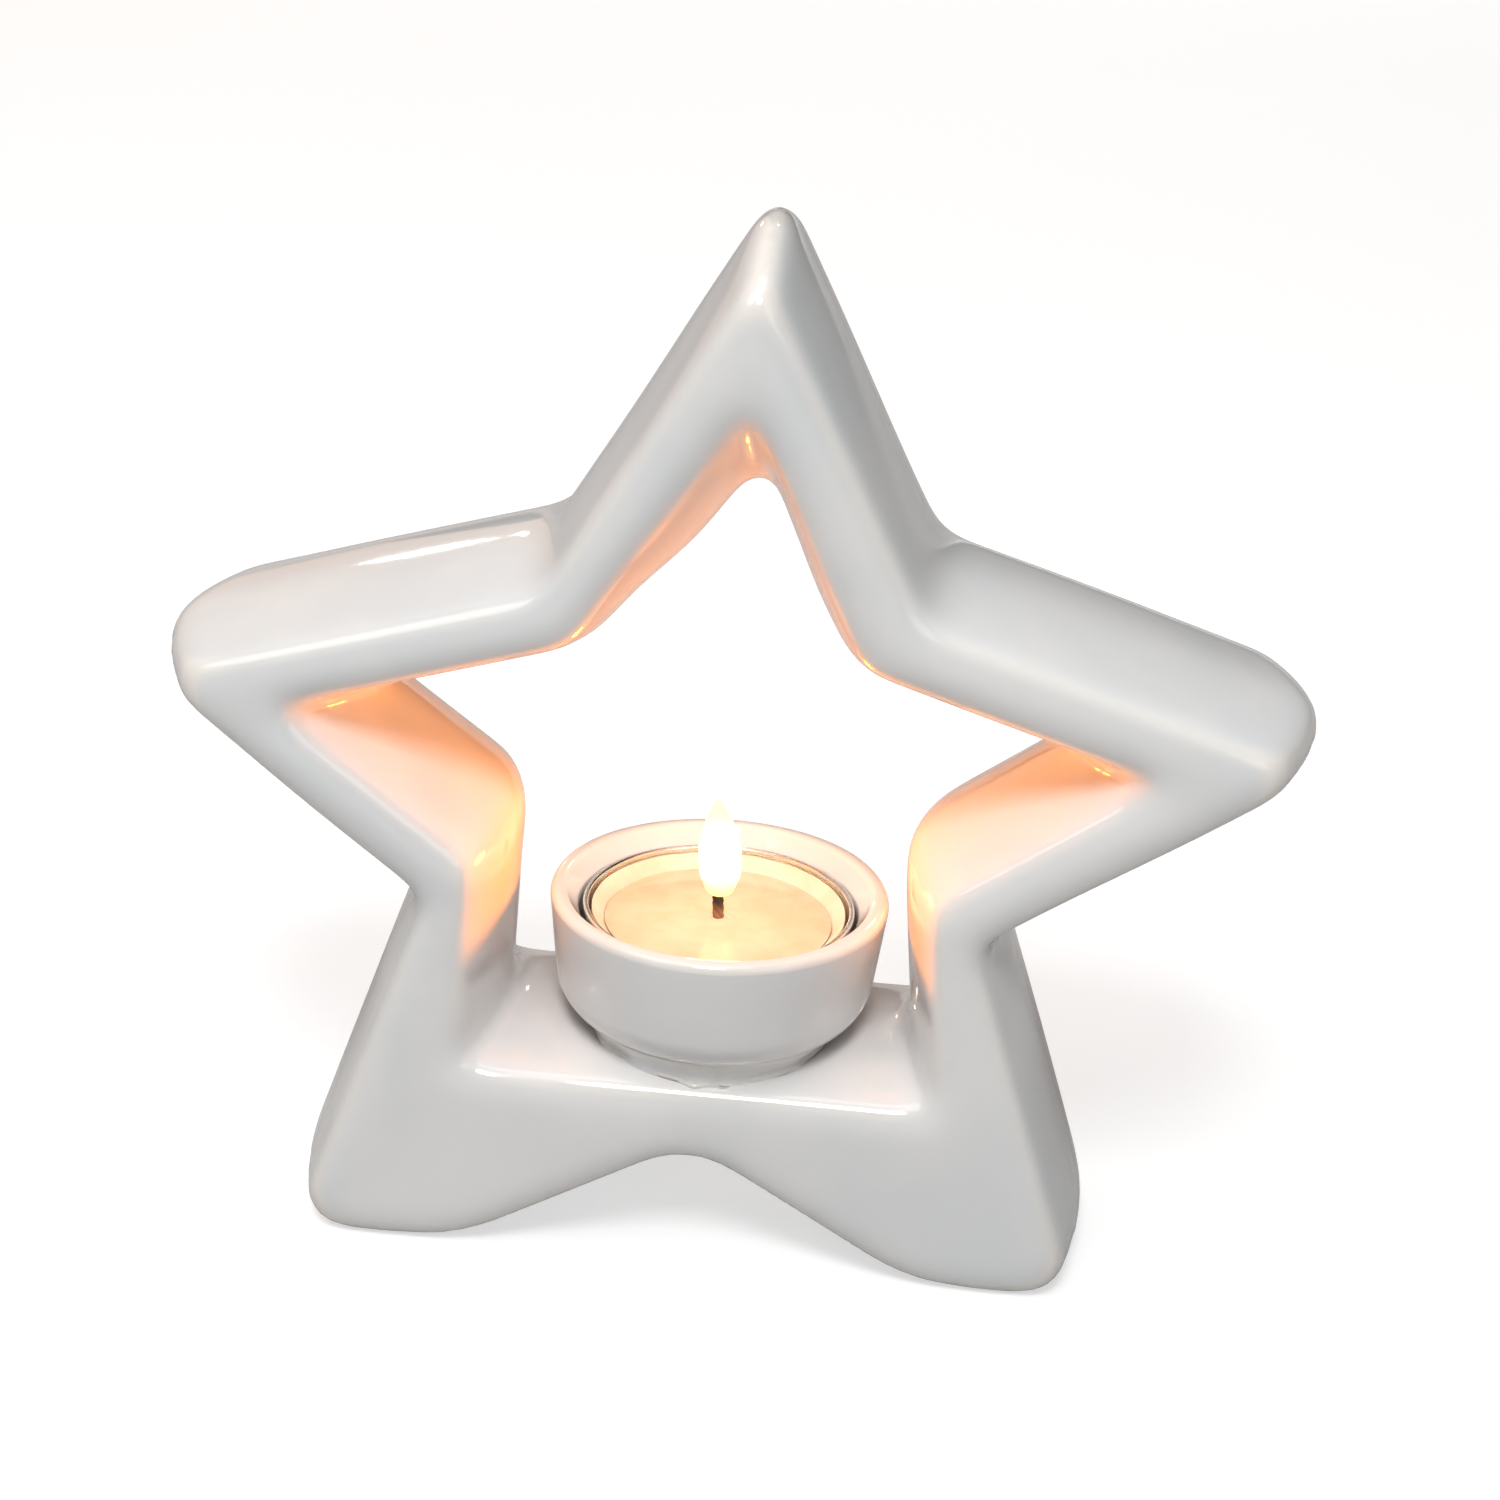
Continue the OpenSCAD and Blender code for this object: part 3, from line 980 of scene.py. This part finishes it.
@dataclass
class Tealight:
    """The tealight: pressed tin, solid and melted wax, sustainer and wick."""

    tin_wall: float = 0.3 * MM
    tin_play: float = 0.25 * MM
    flange: float = 0.2 * MM
    curl_h: float = 1.0 * MM
    curl_r: float = 0.35 * MM
    foot_r: float = 1.4 * MM
    bead_share: float = 0.72
    bead_half: float = 0.6 * MM
    press_r: float = 0.3 * MM
    bank: float = 1.7 * MM
    bank_w: float = 0.5 * MM
    pool_drop: float = 0.35 * MM
    climb_r: float = 0.9 * MM
    climb_h: float = 0.5 * MM
    wick_rings: int = 36
    wick_lean: float = 0.5 * MM
    strand_depth: float = 0.09
    strand_turns: float = 4.5

    def build_tin(self, metal: bpy.types.Material) -> bpy.types.Object:
        """Builds the tin with its curled rim and a pressed bead around the wall.

        Args:
            metal: The tin's material.

        Returns:
            The piece.
        """
        low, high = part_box("tealight_tin")
        rim = (high.x - low.x) / 2
        wall = rim - self.tin_play
        inner = wall - self.tin_wall
        lip = rim + self.flange
        press = self.press_r
        bead = low.z + self.bead_share * (high.z - low.z)
        under, over = bead - self.bead_half, bead + self.bead_half
        curl = high.z - self.curl_h
        corners = [
            Corner(0.0, low.z),
            Corner(wall, low.z, self.foot_r),
            Corner(wall, under, press),
            Corner(wall - press, bead, press),
            Corner(wall, over, press),
            Corner(wall, curl, press),
            Corner(lip, curl + 0.1 * MM, press),
            Corner(lip, high.z, self.curl_r),
            Corner(inner, high.z, self.curl_r),
            Corner(inner, over, press),
            Corner(inner - press, bead, press),
            Corner(inner, under, press),
            Corner(inner, low.z + self.tin_wall, self.foot_r - self.tin_wall),
            Corner(0.0, low.z + self.tin_wall),
        ]
        bm = turned(corners, closed=False, steps=128, segments=4)
        return finish_piece(bm, "tin_cup", metal, Body.TEALIGHT, ("tealight_tin",))

    def build_wax(self, wax: bpy.types.Material) -> bpy.types.Object:
        """Builds the solid wax with its meniscus at the tin and its bank around the pool.

        Args:
            wax: The wax's material.

        Returns:
            The piece.
        """
        low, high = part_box("wax")
        pool_low, pool_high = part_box("wax_pool")
        rim = (high.x - low.x) / 2 - 0.45 * MM
        pool_r = (pool_high.x - pool_low.x) / 2
        corners = [
            Corner(0.0, low.z),
            Corner(rim, low.z, 1.2 * MM),
            Corner(rim, high.z + self.bank, 0.1 * MM),
            Corner(rim - self.bank_w, high.z + 0.6 * self.bank, self.bank_w),
            Corner(pool_r + 0.3 * MM, high.z, 0.6 * MM),
            Corner(pool_r - 0.7 * MM, high.z - 1.1 * MM, 0.6 * MM),
            Corner(0.7 * pool_r, pool_low.z),
            Corner(0.0, pool_low.z),
        ]
        bm = turned(corners, closed=False, steps=128, segments=5)
        wobble(bm, 220.0, 0.12 * MM, 6.1)
        return finish_piece(bm, "wax_body", wax, Body.TEALIGHT, ("wax",))

    def build_pool(self, melt: bpy.types.Material) -> bpy.types.Object:
        """Builds the melted wax with the small rise where it climbs the wick.

        Args:
            melt: The melted wax's material.

        Returns:
            The piece.
        """
        low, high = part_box("wax_pool")
        edge = (high.x - low.x) / 2 - 0.05 * MM
        level = high.z - self.pool_drop
        corners = [
            Corner(0.0, low.z + 0.05 * MM),
            Corner(0.68 * edge, low.z + 0.05 * MM),
            Corner(edge - 0.9 * MM, level - 0.8 * MM, 0.3 * MM),
            Corner(edge - 0.15 * MM, level + 0.1 * MM, 0.05 * MM),
            Corner(edge - 1.4 * MM, level, 1.0 * MM),
            Corner(2.2 * MM, level, 1.0 * MM),
            Corner(self.climb_r, level + self.climb_h, 0.1 * MM),
            Corner(0.0, level + self.climb_h),
        ]
        bm = turned(corners, closed=False, steps=112, segments=4)
        return finish_piece(bm, "wax_pool_surface", melt, Body.TEALIGHT, ("wax_pool",))

    def build_wick(self, cotton: bpy.types.Material) -> bpy.types.Object:
        """Builds the wick, which leans and curls a little towards its burnt tip.

        Args:
            cotton: The wick's material.

        Returns:
            The piece.
        """
        low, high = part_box("wick")
        radius = (high.x - low.x) / 2
        length = high.z - low.z
        bm = bmesh.new()
        base = bmesh.ops.create_circle(bm, cap_ends=True, radius=radius, segments=20)
        bmesh.ops.translate(bm, verts=base["verts"], vec=(0.0, 0.0, low.z))
        top = list(bm.faces)
        for i in range(self.wick_rings):
            made = bmesh.ops.extrude_face_region(bm, geom=top)["geom"]
            verts = [g for g in made if isinstance(g, bmesh.types.BMVert)]
            bmesh.ops.translate(bm, verts=verts, vec=(0.0, 0.0, length / self.wick_rings))
            if i > 0:
                bmesh.ops.delete(bm, geom=top, context="FACES_ONLY")
            top = [g for g in made if isinstance(g, bmesh.types.BMFace)]
        for vert in bm.verts:
            share = (vert.co.z - low.z) / length
            angle = math.atan2(vert.co.y, vert.co.x)
            twist = self.strand_turns * share * math.tau
            strands = 1.0 + self.strand_depth * math.cos(3 * (angle + twist))
            taper = 1.0 - 0.35 * max(0.0, share - 0.82) / 0.18
            lean = self.wick_lean * max(0.0, share - 0.55) ** 2 / 0.2
            vert.co.x = vert.co.x * strands * taper - lean
            vert.co.y = vert.co.y * strands * taper
        bmesh.ops.recalc_face_normals(bm, faces=bm.faces)
        return finish_piece(bm, "wick_braid", cotton, Body.TEALIGHT, ("wick",))

    def dress_sustainer(self, steel: bpy.types.Material) -> None:
        """Gives the CAD sustainer, which lies in the wax, its metal.

        Args:
            steel: The sustainer's material.
        """
        node = frame["nodes"]["wick_sustainer"]
        node.data.materials.clear()
        node.data.materials.append(steel)


@dataclass
class Flame:
    """The candle flame, a drop of light on the wick, with a near lamp and a far one."""

    height: float = 15.0 * MM
    width: float = 6.2 * MM
    start: float = 2.2 * MM
    lean: float = 0.9 * MM
    lean_power: float = 1.6
    lamp_r: float = 4.0 * MM
    far_power: float = 3.4
    far_light: Colour = (1.0, 0.27, 0.01)
    near_power: float = 0.5
    near_light: Colour = (1.0, 0.77, 0.56)

    def build(self, near: list[bpy.types.Object], far: list[bpy.types.Object]) -> bpy.types.Object:
        """Builds the flame and its two lamps.

        Args:
            near: The pieces close around the flame, which have a paler, weaker light.
            far: The pieces that have the warm glow.

        Returns:
            The flame.
        """
        wick_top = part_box("wick")[1].z
        low = wick_top - self.start
        r = self.width / 2
        h = self.height
        corners = [
            Corner(0.0, low),
            Corner(0.60 * r, low + 0.02 * h, 0.8 * MM),
            Corner(0.97 * r, low + 0.22 * h, 3.0 * MM),
            Corner(1.0 * r, low + 0.52 * h, 5.0 * MM),
            Corner(0.62 * r, low + 0.78 * h, 5.0 * MM),
            Corner(0.16 * r, low + 0.96 * h, 0.6 * MM),
            Corner(0.0, low + h),
        ]
        bm = turned(corners, closed=False, steps=48, segments=8)
        for vert in bm.verts:
            share = (vert.co.z - low) / h
            vert.co.x -= self.lean * max(0.0, share) ** self.lean_power
        fire = Fire("flame_glow", low, low + h).material()
        flame = finish_piece(bm, "flame", fire, Body.TEALIGHT)
        flame.visible_shadow = False
        flame.visible_diffuse = False
        place = Vector((-0.4 * self.lean, 0.0, low + 0.55 * h))
        self.build_lamp("flame_near_lamp", place, self.near_power, self.near_light, near)
        self.build_lamp("flame_far_lamp", place, self.far_power, self.far_light, far)
        return flame

    def build_lamp(self, name: str, place: Vector, power: float, light: Colour,
                   lit: list[bpy.types.Object]) -> None:
        """Builds one small lamp inside the flame, which moves with the tealight and fades gently.

        Args:
            name: The lamp's name.
            place: Where it is.
            power: Its power in watts.
            light: Its colour.
            lit: The pieces that it lights.
        """
        data = bpy.data.lights.new(name, "POINT")
        data.energy = power
        data.color = light
        data.shadow_soft_size = self.lamp_r
        data.use_nodes = True
        nodes = data.node_tree.nodes
        softened = nodes.new("ShaderNodeLightFalloff")
        softened.inputs["Strength"].default_value = 1.0
        data.node_tree.links.new(softened.outputs["Linear"], nodes["Emission"].inputs["Strength"])
        lamp = placed(name, data)
        lamp.location = place
        lamp.parent = frame["bodies"][Body.TEALIGHT.value]
        group = bpy.data.collections.new(name + "_lit")
        for piece in lit:
            group.objects.link(piece)
        lamp.light_linking.receiver_collection = group


# ---- Studio -------------------------------------------------------------------------------------


@dataclass(frozen=True)
class Softbox:
    """One square studio light that points at the object."""

    name: str
    place: tuple[float, float, float]
    size: float
    power: float
    colour: Colour = WHITE
    aim: tuple[float, float, float] = (0.0, 0.0, 0.07)
    mirrored: bool = True

    def build(self) -> None:
        """Places the light."""
        data = bpy.data.lights.new(self.name, "AREA")
        data.shape = "SQUARE"
        data.size = self.size
        data.energy = self.power
        data.color = self.colour
        lamp = placed(self.name, data)
        lamp.visible_glossy = self.mirrored
        lamp.location = self.place
        lamp.rotation_euler = (Vector(self.aim) - Vector(self.place)).to_track_quat("-Z", "Y").to_euler()


@dataclass
class Camera:
    """The camera in front of the holder, a little to its right and above, slightly rolled."""

    azimuth: float = 4.4
    elevation: float = 23.507
    roll: float = 3.216
    distance: float = 507.4 * MM
    target_z: float = 80.0 * MM
    lens: float = 86.777
    sensor: float = 36.0
    shift: tuple[float, float] = (0.01327, -0.02959)

    def build(self) -> None:
        """Places the camera and makes it the scene's own."""
        turn, rise, roll = (math.radians(a) for a in (self.azimuth, self.elevation, self.roll))
        back = Vector((math.sin(turn) * math.cos(rise), -math.cos(turn) * math.cos(rise), math.sin(rise)))
        level = Vector((math.cos(turn), math.sin(turn), 0.0))
        above = level.cross(-back)
        right = level * math.cos(roll) + above * math.sin(roll)
        up = above * math.cos(roll) - level * math.sin(roll)
        data = bpy.data.cameras.new("studio_camera")
        data.sensor_width = self.sensor
        data.lens = self.lens
        data.shift_x, data.shift_y = self.shift
        data.clip_start = 0.01
        camera = placed("studio_camera", data)
        turned_to = Matrix((right, up, back)).transposed()
        place = Vector((0.0, 0.0, self.target_z)) + self.distance * back
        camera.matrix_world = Matrix.Translation(place) @ turned_to.to_4x4()
        bpy.context.scene.camera = camera


@dataclass
class Studio:
    """Pale floor, pale surroundings and soft lights."""

    floor_size: float = 8.0
    world_strength: float = 0.03
    backdrop_strength: float = 0.95
    softboxes: tuple[Softbox, ...] = (
        Softbox("front_box", (0.0, -0.8, 1.1), 0.34, 10.8),
        Softbox("front_right_box", (0.8, -0.9, 0.6), 0.6, 1.4),
        Softbox("steep_box", (0.0, -0.45, 1.2), 0.7, 2.2),
        Softbox("steep_left_box", (-0.6, -0.4, 1.05), 0.7, 3.8),
        Softbox("top_box", (0.0, 0.1, 1.2), 0.8, 3.0),
        Softbox("back_box", (-1.0, 1.1, 0.8), 1.8, 6.2, (1.0, 0.70, 0.54)),
        Softbox("rear_box", (0.1, 1.5, 0.2), 0.7, 5.0, mirrored=False),
        Softbox("strip_box", (0.26, 1.22, 0.81), 0.12, 0.4, (1.0, 0.95, 0.9)),
        Softbox("glint_box", (-0.42, 1.1, 0.3), 0.05, 0.12, (1.0, 0.93, 0.8)),
    )

    def build_floor(self) -> None:
        """Builds the floor, which isn't part of the object."""
        bm = bmesh.new()
        bmesh.ops.create_grid(bm, x_segments=2, y_segments=2, size=self.floor_size / 2)
        mesh = bpy.data.meshes.new("floor")
        bm.to_mesh(mesh)
        bm.free()
        mesh.materials.append(Ground().material())
        placed("floor", mesh)

    def build_world(self) -> None:
        """Builds the surroundings, which are paler to the camera than the light that they give."""
        world = bpy.data.worlds.new("pale_room")
        world.use_nodes = True
        nodes, links = world.node_tree.nodes, world.node_tree.links
        dim = nodes["Background"]
        pale = nodes.new("ShaderNodeBackground")
        for sky, strength in ((dim, self.world_strength), (pale, self.backdrop_strength)):
            sky.inputs["Color"].default_value = solid(WHITE)
            sky.inputs["Strength"].default_value = strength
        either = nodes.new("ShaderNodeMixShader")
        links.new(nodes.new("ShaderNodeLightPath").outputs["Is Camera Ray"], either.inputs[0])
        links.new(dim.outputs[0], either.inputs[1])
        links.new(pale.outputs[0], either.inputs[2])
        links.new(either.outputs[0], nodes["World Output"].inputs["Surface"])
        bpy.context.scene.world = world

    def build(self) -> None:
        """Builds the floor, the surroundings and the lights."""
        self.build_floor()
        self.build_world()
        bpy.context.scene.view_settings.view_transform = "Standard"
        for softbox in self.softboxes:
            softbox.build()


# ---- Everything ---------------------------------------------------------------------------------


def main() -> None:
    """Builds every piece in order."""
    logging.basicConfig(level=logging.INFO, format="%(name)s: %(message)s")
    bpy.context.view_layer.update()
    Camera().build()
    Studio().build()
    glaze = Glaze("white_glaze").material()
    slip = Glaze("slip_glaze", body=(0.715, 0.705, 0.69), roughness=0.14, waviness=0.25,
                 patch_scale=120.0).material()
    far = [StarCasting().build(glaze), LutingBead().build(slip)]
    wick_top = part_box("wick")[1].z
    melt = Wax("melted_wax", body=(0.70, 0.54, 0.36), cloud=(0.75, 0.60, 0.42), roughness=0.06,
               relief=0.03, soot_share=0.0)
    steel = Metal("sustainer_steel", body=(0.6, 0.6, 0.61), dull=(0.45, 0.45, 0.46), roughness=0.35)
    cotton = WickCotton("wick_cotton", char_from=wick_top - 5.5 * MM, char_to=wick_top - 3.0 * MM)
    tealight = Tealight()
    near = [
        Cup().build(glaze),
        tealight.build_tin(Metal("tin_foil").material()),
        tealight.build_wax(Wax("candle_wax").material()),
        tealight.build_pool(melt.material()),
        tealight.build_wick(cotton.material()),
    ]
    tealight.dress_sustainer(steel.material())
    Flame().build(near, far)


if __name__ == "__main__":
    main()
